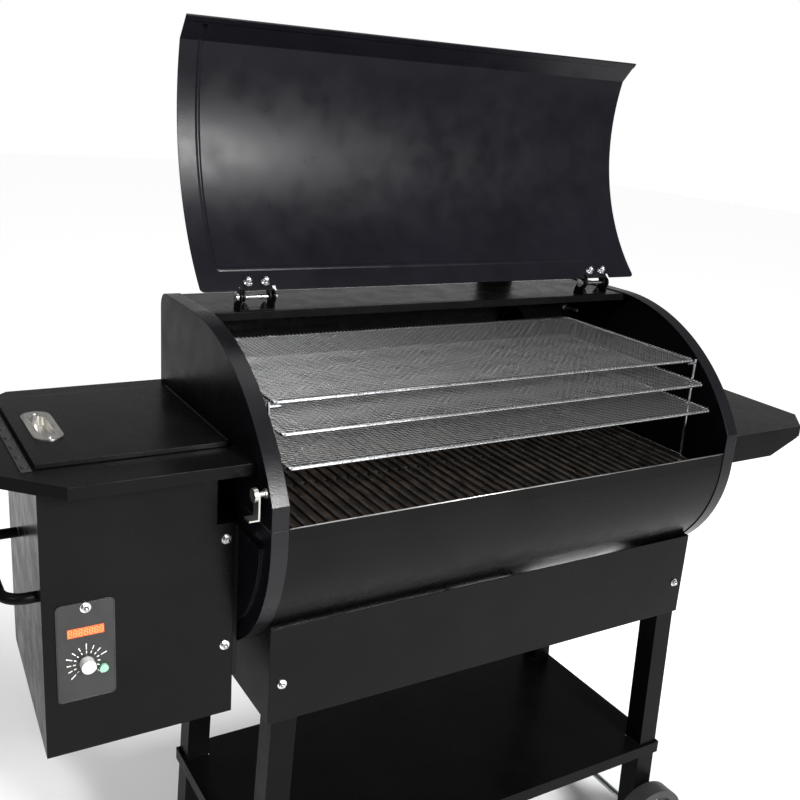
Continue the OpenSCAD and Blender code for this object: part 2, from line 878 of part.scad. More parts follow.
// A rack: a rim of round bars with a flat grid of wire between them.
module jerky_rack(h, y0) {
    r = 2.8;
    wire = 2;
    x1 = rack_w / 2 - r;
    ya = y0 + r;
    yb = rack_rear - r;
    n = floor((2 * x1) / rack_pitch);
    step = 2 * x1 / n;
    rows = 5;
    color("#d0d3d6") translate([0, 0, h]) {
        for (y = [ya, yb]) rod_x([-x1, y, 0], 2 * x1, r);
        for (x = [-x1, x1]) rod_y([x, ya, 0], yb - ya, r);
        for (x = [-x1, x1], y = [ya, yb]) translate([x, y, 0]) sphere(r);
        for (i = [1 : n - 1]) box([-x1 + i * step - wire / 2, ya, -0.5], [-x1 + i * step + wire / 2, yb, 1]);
        for (j = [1 : rows - 1]) box(
            [-x1, ya + j * (yb - ya) / rows - wire / 2, -1.5],
            [x1, ya + j * (yb - ya) / rows + wire / 2, 0]);
    }
}

module jerky_rack_low() { jerky_rack(rack_h[0], rack_y[0]); }
module jerky_rack_middle() { jerky_rack(rack_h[1], rack_y[1]); }
module jerky_rack_top() { jerky_rack(rack_h[2], rack_y[2]); }

// ---- Drain and chimney ----

// The pipe from the grease tray through the rear wall, with a peg for the bucket.
module drain_spout() {
    r = 18.8;
    t = 1.5;
    y0 = barrel_d - 50;
    y1 = barrel_d + 44;
    down_r = 12;
    color("#8f9193") {
        difference() {
            union() {
                rod_y([drain_x, y0, drain_z], y1 - y0, r);
                translate([drain_x, y1 - 16, drain_z - 42]) cylinder(r = down_r, h = 42);
            }
            rod_y([drain_x, y0 - 10, drain_z], y1 - y0 + 8, r - t);
            translate([drain_x, y1 - 16, drain_z - 50]) cylinder(r = down_r - t, h = 50);
            box([drain_x - 14, y0 + 4, drain_z], [drain_x + 14, y0 + 14, drain_z + 2 * r]);
        }
        rod_y([drain_x, y1 - 0.5, drain_z - 14], 20, 3);
        rod_y([drain_x, y1 + 18, drain_z - 14], 2, 5);
    }
}

// The bucket for the grease, hung by its wire bail on the spout's peg.
module grease_bucket() {
    top_r = 50;
    wire = 2;
    h = 110;
    y = barrel_d + 54;
    bail_z = drain_z - 14 + 3 + wire + 0.3;
    z = bail_z - top_r - h;
    color("#9fa3a6") translate([drain_x, y, z]) {
        difference() {
            cylinder(r1 = 40, r2 = top_r, h = h);
            translate([0, 0, 1.2]) cylinder(r1 = 38.8, r2 = top_r - 1.2, h = h);
        }
        translate([0, 0, h]) rotate([90, 0, 0]) rotate_extrude(angle = 180)
            translate([top_r, 0]) circle(wire);
    }
}

// The upright pipe, open at the top, on a narrower stub from the rear wall.
module chimney_pipe() {
    t = 1.5;
    r = pipe_r;
    reach = chimney_y - barrel_d;
    bottom = chimney_z - r;
    color("#1f1f22") difference() {
        union() {
            rod_y([chimney_x, barrel_d - 20, chimney_z], 20 + reach, stub_r);
            translate([chimney_x, chimney_y, bottom]) cylinder(r = r, h = chimney_l);
            rod_y([chimney_x, barrel_d - sheet + 0.05, chimney_z], 2, r + 14);
        }
        rod_y([chimney_x, barrel_d - 30, chimney_z], 30 + reach, stub_r - t);
        translate([chimney_x, chimney_y, bottom + t]) cylinder(r = r - t, h = chimney_l);
    }
}

module chimney_cap() {
    top = chimney_z - pipe_r + chimney_l;
    fin = pipe_r - 2;
    color("#26262a") translate([chimney_x, chimney_y, top]) {
        translate([0, 0, 24]) cylinder(r = chimney_cap_r, h = 2.5);
        translate([0, 0, -20]) cylinder(r = 4, h = 44);
        for (a = [0, 90]) rotate([0, 0, a])
            box([-fin, -1, -12], [fin, 1, 1]);
        for (a = [0, 90]) rotate([0, 0, a]) box([-pipe_r, -1, 0.3], [pipe_r, 1, 3]);
    }
}

module temperature_probe() {
    color("#b9bcbf") {
        rod_y([430, barrel_d - 52, 174], 60, 2.95);
        rod_y([430, barrel_d - 12, 174], 8.5, 7);
    }
}

// The bent steel hook for tools on the left end, on one stud.
module tool_hook() {
    y = 22;
    z = 50;
    drop = 36;
    half = 9;
    t = 2.5;
    plate_x = -half_w - 14.5;
    color("#bfc2c4") {
        rod_x([plate_x - 3, y, z], -half_w - plate_x + 3, 4);
        rod_x([plate_x - 5.5, y, z], 6, 10);
        rod_x([-half_w - 3, y, z], 3, 7);
        box([plate_x, y - half, z - drop], [plate_x + t, y + half, z + 4]);
        box([plate_x - 13, y - half, z - drop], [plate_x + t, y + half, z - drop + t]);
    }
}

// ---- Hinges and lid ----

ear_t = 3;
ear_gap = 54;

// The fixed half of a hinge: a foot on the crown strip and two ears.
module hinge_bracket(x) {
    ear_r = 12;
    foot_z = crown_h - sheet;
    foot_y = strip_y + 29;
    x0 = x - ear_gap / 2 - ear_t;
    difference() {
        union() {
            box([x0, strip_y + 1, foot_z], [x + ear_gap / 2 + ear_t, foot_y, foot_z + 2.5]);
            for (ex = [x0, x + ear_gap / 2]) {
                rod_x([ex, hinge_y, hinge_z], ear_t, ear_r);
                along_x(ex, ex + ear_t) polygon([
                    [strip_y + 1, foot_z], [foot_y, foot_z], [foot_y - 2, foot_z + 9],
                    [hinge_y + 10, hinge_z + 5], [hinge_y - 8, hinge_z]]);
            }
        }
        rod_x([x0 - 1, hinge_y, hinge_z], ear_gap + 8, 4.05);
    }
    for (sx = [-17, 17]) translate([x + sx, strip_y + 15, foot_z + 2.5]) cap_nut(4);
}

// A washer with a domed cap nut on it, whose hexagon is h high.
module cap_nut(h) {
    washer = 1.5;
    cylinder(r = 7.5, h = washer);
    translate([0, 0, washer]) cylinder(r = 5.5, h = h, $fn = 6);
    translate([0, 0, washer + h]) sphere(3.6);
}

module hinge_brackets() {
    color("#151517") for (s = [-1, 1]) hinge_bracket(s * hinge_x);
}

module hinge_pins() {
    len = ear_gap + 2 * ear_t;
    color("#d6d8da") for (s = [-1, 1]) translate([s * hinge_x, hinge_y, hinge_z]) {
        rod_x([-len / 2 - 6, 0, 0], len + 12, 4);
        rod_x([-len / 2 - 6, 0, 0], 5.5, 7.5);
        rod_x([len / 2 + 2, 0, 0], 3, 5.5);
    }
}

// Turns the lid's pieces from closed to the angle that they stand open at.
module opened() {
    translate([0, hinge_y, hinge_z]) rotate([-lid_open, 0, 0]) translate([0, -hinge_y, -hinge_z])
        children();
}

module lid_profile(outer, inner) {
    intersection() {
        wall(-lid_gap - outer, -lid_gap - inner);
        translate([-50, lid_low]) square([lid_rear + 50, crown_h + 50]);
    }
}

module lid_shell() {
    bolt_r = 3.1;
    color("#2e2e34") opened() difference() {
        union() {
            along_x(-lid_w / 2, lid_w / 2) lid_profile(lid_t, 0);
            along_x(-lid_w / 2, lid_w / 2) intersection() {
                wall(-lid_gap, -lid_gap + 1.5);
                translate([-50, lid_low]) square([60, 10]);
            }
        }
        for (s = [-1, 1], sx = [-lid_bolt_x, lid_bolt_x])
            translate([s * hinge_x + sx, lid_bolt_y, crown_h - 10])
                cylinder(r = bolt_r, h = 40);
        for (s = [-1, 1], ex = [-ear_gap / 2 - ear_t, ear_gap / 2])
            translate([s * hinge_x + ex - 1.5, strip_y - 2, crown_h - 10])
                cube([ear_t + 3, 20, 40]);
        both_ends() lid_corner();
    }
}

// What is cut from a rear corner of the lid to round it.
module lid_corner() {
    r = 8;
    x = lid_w / 2 - r;
    y = lid_rear - r;
    translate([x, y, crown_h - 10]) difference() {
        cube([r + 1, r + 1, 40]);
        translate([0, 0, -1]) cylinder(r = r, h = 42);
    }
}

// The moving half of each hinge: a plate on the lid and two ears round the pin,
// with the bolts that clamp it and their cap nuts inside the lid.
module lid_hinge_leaf(x) {
    z0 = crown_h + lid_gap + lid_t + 0.05;
    w = ear_gap - 6;
    difference() {
        union() {
            box([x - w / 2, strip_y - 26, z0], [x + w / 2, strip_y + 3, z0 + 3]);
            for (ex = [x - w / 2, x + w / 2 - ear_t]) {
                rod_x([ex, hinge_y, hinge_z], ear_t, 8);
                along_x(ex, ex + ear_t) polygon([
                    [strip_y - 26, z0], [strip_y + 3, z0], [hinge_y + 4, hinge_z - 6],
                    [hinge_y, hinge_z + 7], [strip_y - 24, z0 + 7]]);
            }
        }
        rod_x([x - w, hinge_y, hinge_z], 2 * w, 4.06);
    }
    for (sx = [-lid_bolt_x, lid_bolt_x]) translate([x + sx, lid_bolt_y, 0]) {
        translate([0, 0, crown_h]) cylinder(r = 3, h = z0 - crown_h + 4);
        translate([0, 0, crown_h + lid_gap - 1.5]) mirror([0, 0, 1]) cap_nut(7);
        translate([0, 0, z0 + 3]) cylinder(r = 6, h = 4, $fn = 6);
    }
}

module lid_hinge_leaves() {
    color("#1a1a1c") opened() for (s = [-1, 1]) lid_hinge_leaf(s * hinge_x);
}

// The grab bar, on two stems that stand square to the lid's front.
module lid_handle() {
    bar_r = 12;
    stem_r = 7;
    reach = 52;
    height = 60;
    stem_x = lid_bar_l / 2 - 40;
    lean = asin((height - crown_cz) / (crown_r + lid_gap));
    surface = crown_r + lid_gap + lid_t;
    color("#c4c6c8") opened() translate([0, crown_cy, crown_cz]) rotate([-lean, 0, 0]) {
        rod_x([-lid_bar_l / 2, -surface - reach, 0], lid_bar_l, bar_r);
        for (x = [-stem_x, stem_x]) {
            rod_y([x, -surface - reach, 0], reach - 0.3, stem_r);
            rod_y([x, -surface - 4.3, 0], 4, 14);
        }
    }
}

place() leg_front_left();
place() leg_front_right();
place() leg_rear_left();
place() leg_rear_right();
place() apron_front();
place() apron_rear();
place() apron_sides();
place() bottom_shelf();
place() levelling_feet();
place() wheel_axle();
place() wheel_front();
place() wheel_rear();
place() barrel_shell();
place() end_cap_left();
place() end_cap_right();
place() end_panel_left();
place() end_panel_right();
place() grate_ledges();
place() side_shelf();
place() panel_bolts();
place() hopper_cabinet();
place() hopper_standoff();
place() hopper_top_plate();
place() hopper_bin();
place() hopper_lid();
place() hopper_lid_pull();
place() hopper_lid_hinge();
place() buffer_strip();
place() push_handle();
place() control_panel();
place() display_window();
place() control_knob();
place() power_button();
place() auger_tube();
place() auger_screw();
place() auger_motor();
place() air_duct();
place() fan_housing();
place() fan_rotor();
place() fire_pot();
place() igniter_rod();
place() ash_cup();
place() heat_deflector();
place() drip_tray();
place() cooking_grate();
place() rack_stands();
place() jerky_rack_low();
place() jerky_rack_middle();
place() jerky_rack_top();
place() drain_spout();
place() grease_bucket();
place() chimney_pipe();
place() chimney_cap();
place() temperature_probe();
place() tool_hook();
place() hinge_brackets();
place() hinge_pins();
place() lid_shell();
place() lid_hinge_leaves();
place() lid_handle();
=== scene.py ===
"""The looks of a pellet grill with three jerky racks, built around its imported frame."""

import json
import math

import bpy
from mathutils import Matrix, Vector
from mathutils.bvhtree import BVHTree


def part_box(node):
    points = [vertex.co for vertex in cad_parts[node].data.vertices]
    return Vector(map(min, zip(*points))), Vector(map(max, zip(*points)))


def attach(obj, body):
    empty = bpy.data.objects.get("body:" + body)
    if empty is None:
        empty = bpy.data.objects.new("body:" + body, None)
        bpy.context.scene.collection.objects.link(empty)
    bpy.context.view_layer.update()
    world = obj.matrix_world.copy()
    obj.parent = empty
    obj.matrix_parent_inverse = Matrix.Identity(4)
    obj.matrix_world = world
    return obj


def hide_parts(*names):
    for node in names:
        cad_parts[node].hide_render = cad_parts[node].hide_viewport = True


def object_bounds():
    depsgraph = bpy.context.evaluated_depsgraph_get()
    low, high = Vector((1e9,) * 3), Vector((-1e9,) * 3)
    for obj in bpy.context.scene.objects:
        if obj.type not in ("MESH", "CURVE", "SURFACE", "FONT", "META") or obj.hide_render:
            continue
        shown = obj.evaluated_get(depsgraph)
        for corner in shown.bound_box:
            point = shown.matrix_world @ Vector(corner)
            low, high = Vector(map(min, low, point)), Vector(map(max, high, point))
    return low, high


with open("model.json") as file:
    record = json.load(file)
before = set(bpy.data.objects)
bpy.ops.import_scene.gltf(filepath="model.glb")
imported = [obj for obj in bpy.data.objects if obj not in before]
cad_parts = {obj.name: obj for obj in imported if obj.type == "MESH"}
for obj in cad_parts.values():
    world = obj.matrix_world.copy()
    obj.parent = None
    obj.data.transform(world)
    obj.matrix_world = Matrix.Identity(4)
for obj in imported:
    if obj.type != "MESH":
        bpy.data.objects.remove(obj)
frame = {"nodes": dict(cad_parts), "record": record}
CAD_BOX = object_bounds()
MM = 0.001


# ---- Node materials ----

# Specular level on faces turned sideways: painted shade that makes the sides look darker.
SHADED_SIDE_GLOSS = 0.03


def new_material(name, color, metallic=0.0, roughness=0.5):
    """A principled material with its constant values set on the shader's own sockets."""
    mat = bpy.data.materials.new(name)
    mat.use_nodes = True
    shader = mat.node_tree.nodes["Principled BSDF"]
    shader.inputs["Base Color"].default_value = (*color, 1.0)
    shader.inputs["Metallic"].default_value = metallic
    shader.inputs["Roughness"].default_value = roughness
    return mat


def shader_of(mat):
    return mat.node_tree.nodes["Principled BSDF"]


def add_node(mat, kind, **values):
    """A node with its input sockets set by name."""
    node = mat.node_tree.nodes.new(kind)
    for key, value in values.items():
        node.inputs[key.replace("_", " ")].default_value = value
    return node


def join(mat, source, target):
    mat.node_tree.links.new(source, target)


def coordinates(mat, stretch=(1.0, 1.0, 1.0)):
    """Places in the object's own metres, stretched along its axes."""
    where = mat.node_tree.nodes.new("ShaderNodeTexCoord")
    mapping = mat.node_tree.nodes.new("ShaderNodeMapping")
    mapping.inputs["Scale"].default_value = stretch
    join(mat, where.outputs["Object"], mapping.inputs["Vector"])
    return mapping.outputs["Vector"]


def noise(mat, scale, detail=2.0, stretch=(1.0, 1.0, 1.0), roughness=0.5):
    node = add_node(mat, "ShaderNodeTexNoise", Scale=scale, Detail=detail, Roughness=roughness)
    join(mat, coordinates(mat, stretch), node.inputs["Vector"])
    return node.outputs["Fac"]


def ramp(mat, value, low, high, dark, light):
    """Turns a value into a colour that runs from dark to light between low and high."""
    node = mat.node_tree.nodes.new("ShaderNodeValToRGB")
    node.color_ramp.elements[0].position = low
    node.color_ramp.elements[1].position = high
    node.color_ramp.elements[0].color = (*dark, 1.0)
    node.color_ramp.elements[1].color = (*light, 1.0)
    join(mat, value, node.inputs["Fac"])
    return node.outputs["Color"]


def spread(mat, value, low, high):
    """Maps the middle of a noise onto the range low to high."""
    return value_ramp(mat.node_tree, value, 0.3, 0.7, low, high)


def relief(mat, height, depth, strength=1.0, under=None):
    """Bumps the surface by depth metres where height is high, on top of another relief."""
    node = add_node(mat, "ShaderNodeBump", Strength=strength, Distance=depth)
    join(mat, height, node.inputs["Height"])
    if under is not None:
        join(mat, under, node.inputs["Normal"])
    join(mat, node.outputs["Normal"], shader_of(mat).inputs["Normal"])
    return node.outputs["Normal"]


def soft_edges(mat, radius):
    """Normals that round sharp sheet edges, as paint and folding do."""
    node = mat.node_tree.nodes.new("ShaderNodeBevel")
    node.samples = 4
    node.inputs["Radius"].default_value = radius
    return node.outputs["Normal"]


def vary(mat, socket, value):
    join(mat, value, shader_of(mat).inputs[socket])


def value_math(tree, operation, *values):
    """A maths node whose inputs are numbers or the outputs of other nodes."""
    node = tree.nodes.new("ShaderNodeMath")
    node.operation = operation
    for socket, value in zip(node.inputs, values):
        if isinstance(value, (int, float)):
            socket.default_value = value
        else:
            tree.links.new(value, socket)
    return node.outputs["Value"]


def value_ramp(tree, value, low, high, first, last):
    """Runs from first to last while the value runs from low to high."""
    node = tree.nodes.new("ShaderNodeMapRange")
    for name, number in (("From Min", low), ("From Max", high), ("To Min", first), ("To Max", last)):
        node.inputs[name].default_value = number
    tree.links.new(value, node.inputs["Value"])
    return node.outputs["Result"]


def powder_coat(name, color, grain, rough, depth=0.12 * MM, gloss=0.14):
    """Black powder coat: orange-peel grain, slight dust, uneven gloss, and painted shade: duller where it
    faces sideways, so the sides look darker.
    """
    mat = new_material(name, color)
    light = tuple(c * 1.5 + 0.0004 for c in color)
    # Painted shade: the specular level falls on faces turned along X, so those sides reflect less and look
    # darker.
    facing = mat.node_tree.nodes.new("ShaderNodeSeparateXYZ")
    join(mat, mat.node_tree.nodes.new("ShaderNodeNewGeometry").outputs["Normal"], facing.inputs["Vector"])
    across = value_math(mat.node_tree, "ABSOLUTE", facing.outputs["X"])
    vary(mat, "Specular IOR Level", value_ramp(mat.node_tree, across, 0.6, 0.95, gloss, SHADED_SIDE_GLOSS))
    vary(mat, "Base Color", ramp(mat, noise(mat, 7.0, 5.0), 0.3, 0.75, color, light))
    vary(mat, "Roughness", spread(mat, noise(mat, 22.0, 4.0), rough - 0.05, rough + 0.07))
    rounded = soft_edges(mat, 1.8 * MM)
    relief(mat, noise(mat, grain, 2.0), depth, 0.6, rounded)
    return mat


def chrome(name):
    """Bright plating with faint polishing marks."""
    mat = new_material(name, (0.8, 0.81, 0.82), 1.0, 0.16)
    vary(mat, "Roughness", spread(mat, noise(mat, 120.0, 3.0), 0.1, 0.24))
    vary(mat, "Base Color", ramp(mat, noise(mat, 40.0), 0.3, 0.7, (0.5, 0.51, 0.53), (0.8, 0.8, 0.81)))
    relief(mat, noise(mat, 900.0), 0.03 * MM, 0.4)
    return mat


def brushed(name, color, stretch, rough=0.34):
    """Steel with fine brush lines that run the long way."""
    mat = new_material(name, color, 1.0, rough)
    lines = noise(mat, 500.0, 3.0, stretch)
    dark = tuple(c * 0.72 for c in color)
    vary(mat, "Base Color", ramp(mat, lines, 0.3, 0.7, dark, color))
    vary(mat, "Roughness", spread(mat, lines, rough - 0.08, rough + 0.1))
    relief(mat, lines, 0.04 * MM, 0.6)
    return mat


def zinc_sheet(name):
    """Galvanised sheet with its large flat crystals."""
    mat = new_material(name, (0.5, 0.52, 0.53), 1.0, 0.4)
    cells = add_node(mat, "ShaderNodeTexVoronoi", Scale=90.0, Randomness=1.0)
    join(mat, coordinates(mat), cells.inputs["Vector"])
    grey = ramp(mat, cells.outputs["Color"], 0.1, 0.9, (0.36, 0.38, 0.4), (0.6, 0.62, 0.63))
    vary(mat, "Base Color", grey)
    vary(mat, "Roughness", spread(mat, noise(mat, 60.0, 3.0), 0.3, 0.5))
    relief(mat, noise(mat, 300.0, 3.0), 0.05 * MM, 0.4)
    return mat


def heated_steel(name):
    """Bare steel that fire has darkened, with dark and brown patches and scale."""
    mat = new_material(name, (0.12, 0.1, 0.09), 0.8, 0.55)
    patches = ramp(mat, noise(mat, 18.0, 6.0), 0.3, 0.75, (0.04, 0.035, 0.035), (0.2, 0.14, 0.1))
    vary(mat, "Base Color", patches)
    vary(mat, "Roughness", spread(mat, noise(mat, 60.0, 4.0), 0.4, 0.75))
    relief(mat, noise(mat, 350.0, 5.0), 0.12 * MM, 0.6)
    return mat


def enamel(name):
    """Glossy porcelain enamel with small pits and dull baked patches."""
    mat = new_material(name, (0.02, 0.02, 0.02), 0.0, 0.25)
    baked = ramp(mat, noise(mat, 30.0, 5.0), 0.35, 0.7, (0.01, 0.01, 0.01), (0.04, 0.035, 0.03))
    vary(mat, "Base Color", baked)
    vary(mat, "Roughness", spread(mat, noise(mat, 45.0, 4.0), 0.18, 0.45))
    relief(mat, noise(mat, 260.0, 3.0), 0.1 * MM, 0.4)
    return mat


def moulded(name, color, rough, grain=1400.0):
    """Moulded plastic or rubber with a fine spark-eroded grain."""
    mat = new_material(name, color, 0.0, rough)
    light = tuple(min(1.0, c * 1.25 + 0.004) for c in color)
    vary(mat, "Base Color", ramp(mat, noise(mat, 25.0, 3.0), 0.3, 0.7, color, light))
    vary(mat, "Roughness", spread(mat, noise(mat, 80.0, 3.0), rough - 0.05, rough + 0.08))
    relief(mat, noise(mat, grain, 2.0), 0.05 * MM, 0.5, soft_edges(mat, 0.6 * MM))
    return mat


def lit(name, color, strength, grain):
    """A lit surface, brighter and dimmer in small patches."""
    mat = new_material(name, color, 0.0, 0.3)
    dim = tuple(c * 0.6 for c in color)
    glow = ramp(mat, noise(mat, grain, 2.0), 0.35, 0.65, dim, color)
    vary(mat, "Base Color", glow)
    vary(mat, "Emission Color", glow)
    shader_of(mat).inputs["Emission Strength"].default_value = strength
    return mat


def make_materials():
    return {
        "black_paint": powder_coat("black_powder_coat", (0.0024, 0.0022, 0.0021), 700.0, 0.26, gloss=0.09),
        "lid_paint": powder_coat("lid_powder_coat", (0.0026, 0.0026, 0.0042), 620.0, 0.32, 0.2 * MM, 0.15),
        "rim_paint": powder_coat("rim_powder_coat", (0.003, 0.003, 0.004), 420.0, 0.28, 0.4 * MM, 0.24),
        # Bright metal for the barrel's hem: a painted highlight along the painted front edge.
        "hem_highlight_steel": brushed("painted_highlight_hem", (0.5, 0.5, 0.5), (0.04, 1.0, 1.0)),
        "leg_paint": powder_coat("leg_powder_coat", (0.0018, 0.0018, 0.0018), 900.0, 0.28, gloss=0.06),
        "inner_paint": powder_coat("inner_heat_paint", (0.005, 0.0048, 0.0045), 500.0, 0.5),
        "chrome": chrome("chrome_plating"),
        "mesh_wire": brushed("mesh_wire", (0.4, 0.4, 0.4), (1.0, 1.0, 1.0), 0.42),
        "bright_steel": brushed("brushed_stainless", (0.62, 0.61, 0.58), (1.0, 0.05, 1.0)),
        "bar_steel": brushed("brushed_bar", (0.62, 0.61, 0.59), (0.04, 1.0, 1.0)),
        "zinc_steel": zinc_sheet("galvanised_sheet"),
        "dark_steel": heated_steel("heat_darkened_steel"),
        "enamel": enamel("porcelain_enamel"),
        "black_plastic": moulded("black_moulding", (0.012, 0.012, 0.012), 0.42),
        "panel_face": moulded("panel_face", (0.008, 0.009, 0.008), 0.34),
        "knob_plastic": moulded("metallised_knob", (0.5, 0.5, 0.48), 0.35),
        "display_red": lit("display_backlight", (0.75, 0.09, 0.015), 0.7, 300.0),
        "display_digit": lit("display_digits", (1.0, 0.35, 0.12), 1.4, 800.0),
        "button_green": moulded("green_button", (0.22, 0.48, 0.32), 0.2),
        "white_print": moulded("white_print", (0.8, 0.8, 0.78), 0.5, 3000.0),
        "rubber": moulded("black_rubber", (0.01, 0.01, 0.01), 0.65, 900.0),
        "wheel_plastic": moulded("wheel_moulding", (0.014, 0.014, 0.014), 0.5, 700.0),
    }


def paint(obj, mat):
    obj.data.materials.clear()
    obj.data.materials.append(mat)


def paint_frame(mats):
    """Gives every CAD node the material of its slot, or its own."""
    special = {
        "end_cap_left": "rim_paint",
        "end_cap_right": "rim_paint",
        "end_panel_left": "rim_paint",
        "end_panel_right": "rim_paint",
        "control_panel": "panel_face",
        "lid_handle": "bar_steel",
    }
    for part in frame["record"]["subparts"]:
        name = part["node"]
        paint(frame["nodes"][name], mats[special.get(name, part["material_slot"])])


# ---- Mesh building ----


def mesh_object(name, verts, faces, smooth=True):
    mesh = bpy.data.meshes.new(name)
    mesh.from_pydata(verts, [], faces)
    mesh.validate()
    for poly in mesh.polygons:
        poly.use_smooth = smooth
    obj = bpy.data.objects.new(name, mesh)
    bpy.context.scene.collection.objects.link(obj)
    return obj


def add_tube(verts, faces, points, side, radii, sides=4):
    """Adds a tube along points that lie in the plane square to side, capped at both ends."""
    start = len(verts)
    last = len(points) - 1
    for i, point in enumerate(points):
        along = (points[min(i + 1, last)] - points[max(i - 1, 0)]).normalized()
        other = along.cross(side)
        for k in range(sides):
            turn = math.tau * (k + 0.5) / sides
            reach = side * math.cos(turn) + other * math.sin(turn)
            verts.append(point + reach * radii[i])
    for i in range(last):
        a = start + i * sides
        for k in range(sides):
            n = (k + 1) % sides
            faces.append((a + k, a + n, a + sides + n, a + sides + k))
    faces.append(tuple(start + k for k in reversed(range(sides))))
    end = start + last * sides
    faces.append(tuple(end + k for k in range(sides)))


def add_block(verts, faces, low, high):
    start = len(verts)
    for x in (low[0], high[0]):
        for y in (low[1], high[1]):
            for z in (low[2], high[2]):
                verts.append(Vector((x, y, z)))
    for face in ((0, 1, 3, 2), (4, 6, 7, 5), (0, 4, 5, 1), (2, 3, 7, 6), (0, 2, 6, 4), (1, 5, 7, 3)):
        faces.append(tuple(start + i for i in face))


def add_turned(verts, faces, place, turned, steps, sides=18):
    """A round shape given as radius and height steps in millimetres, closed at both ends."""
    start = len(verts)
    for radius, height in steps:
        for k in range(sides):
            a = math.tau * k / sides
            spot = Vector((radius * math.cos(a), radius * math.sin(a), height)) * MM
            verts.append(place + turned @ spot)
    for i in range(len(steps) - 1):
        a = start + i * sides
        for k in range(sides):
            n = (k + 1) % sides
            faces.append((a + k, a + sides + k, a + sides + n, a + n))
    faces.append(tuple(start + k for k in range(sides)))
    last = start + (len(steps) - 1) * sides
    faces.append(tuple(last + k for k in reversed(range(sides))))


def finish_piece(obj, mat, body):
    paint(obj, mat)
    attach(obj, body)
    return obj


# ---- Jerky racks ----

MESH_PITCH = 7.5 * MM
WIRE_R = 0.45 * MM
RIM_R = 2.8 * MM
RIM_CORNER = 7 * MM
HOOK_TURNS = (-60, 0, 60, 120)
HOOK_POINTS = len(HOOK_TURNS)


def woven_points(start, end, count, hook):
    """A wire from start to end, over and under its neighbours, hooked round both rims."""
    along = (end - start).normalized()
    up = Vector((0, 0, 1))
    points = []
    for turn in HOOK_TURNS:
        a = math.radians(turn)
        points.append(start - along * (hook * math.cos(a)) + up * (hook * math.sin(a)))
    for i in range(1, count):
        lift = WIRE_R if i % 2 else -WIRE_R
        points.append(start.lerp(end, i / count) + up * lift)
    for turn in reversed(HOOK_TURNS):
        a = math.radians(turn)
        points.append(end + along * (hook * math.cos(a)) + up * (hook * math.sin(a)))
    return points


def flipped(points, z):
    """The same wire with its waves turned over about height z, its hooked ends kept."""
    last = len(points) - HOOK_POINTS
    return [Vector((p.x, p.y, 2 * z - p.z)) if HOOK_POINTS <= k < last else p
            for k, p in enumerate(points)]


def rim_points(low, high, z, corner):
    """A closed rounded rectangle."""
    points = []
    centres = ((high.x, high.y, 0), (low.x, high.y, 90), (low.x, low.y, 180), (high.x, low.y, 270))
    for x, y, first in centres:
        cx = x - math.copysign(corner, x - (low.x + high.x) / 2)
        cy = y - math.copysign(corner, y - (low.y + high.y) / 2)
        for step in range(7):
            a = math.radians(first + step * 15)
            points.append(Vector((cx + corner * math.cos(a), cy + corner * math.sin(a), z)))
    points.append(points[0].copy())
    return points


def woven_rack(node, body, mats):
    """A rack of crimped wire mesh whose ends wrap round a bright rim, which is a piece of its own."""
    low, high = (Vector(corner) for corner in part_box(node))
    z = low.z + RIM_R
    inner_low = Vector((low.x + RIM_R, low.y + RIM_R, z))
    inner_high = Vector((high.x - RIM_R, high.y - RIM_R, z))
    verts, faces = [], []
    across = round((inner_high.x - inner_low.x) / MESH_PITCH)
    deep = round((inner_high.y - inner_low.y) / MESH_PITCH)
    hook = RIM_R + WIRE_R
    for i in range(1, across):
        x = inner_low.x + (inner_high.x - inner_low.x) * i / across
        points = woven_points(Vector((x, inner_low.y, z)), Vector((x, inner_high.y, z)), deep, hook)
        if i % 2:
            points = flipped(points, z)
        add_tube(verts, faces, points, Vector((1, 0, 0)), [WIRE_R] * len(points))
    for j in range(1, deep):
        y = inner_low.y + (inner_high.y - inner_low.y) * j / deep
        points = woven_points(Vector((inner_low.x, y, z)), Vector((inner_high.x, y, z)), across, hook)
        if not j % 2:
            points = flipped(points, z)
        add_tube(verts, faces, points, Vector((0, 1, 0)), [WIRE_R] * len(points))
    obj = mesh_object(node + "_mesh", verts, faces)
    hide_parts(node)
    finish_piece(obj, mats["mesh_wire"], body)
    rim = rim_points(inner_low, inner_high, z, RIM_CORNER)
    verts, faces = [], []
    add_tube(verts, faces, rim, Vector((0, 0, 1)), [RIM_R] * len(rim), 10)
    finish_piece(mesh_object(node + "_rim", verts, faces), mats["chrome"], body)


# ---- Controls ----

PRINT_DEPTH = 0.3 * MM


def middle(node):
    low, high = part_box(node)
    return (Vector(low) + Vector(high)) / 2


def dial_marks(mats):
    """Printed marks round the dial: a short and a long one at each setting."""
    centre = middle("control_knob")
    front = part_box("control_panel")[0][1]
    verts, faces = [], []
    settings = 13
    for i in range(settings):
        a = math.radians(225 - i * 270 / (settings - 1))
        out = Vector((math.cos(a), 0, math.sin(a)))
        spans = ((15, 18.5), (21, 27 if i % 3 else 30))
        if i in (settings - 3, settings - 2):
            spans = spans[:1]
        for near, far in spans:
            middle_of_dial = Vector((centre.x, front - PRINT_DEPTH / 2, centre.z))
            points = [middle_of_dial + out * (r * MM) for r in (near, far)]
            add_tube(verts, faces, points, Vector((0, 1, 0)), [0.75 * MM, 1.0 * MM])
    flat = [Vector((v.x, max(v.y, front - PRINT_DEPTH), v.z)) for v in verts]
    obj = mesh_object("dial_marks", flat, faces, False)
    return finish_piece(obj, mats["white_print"], "grill")


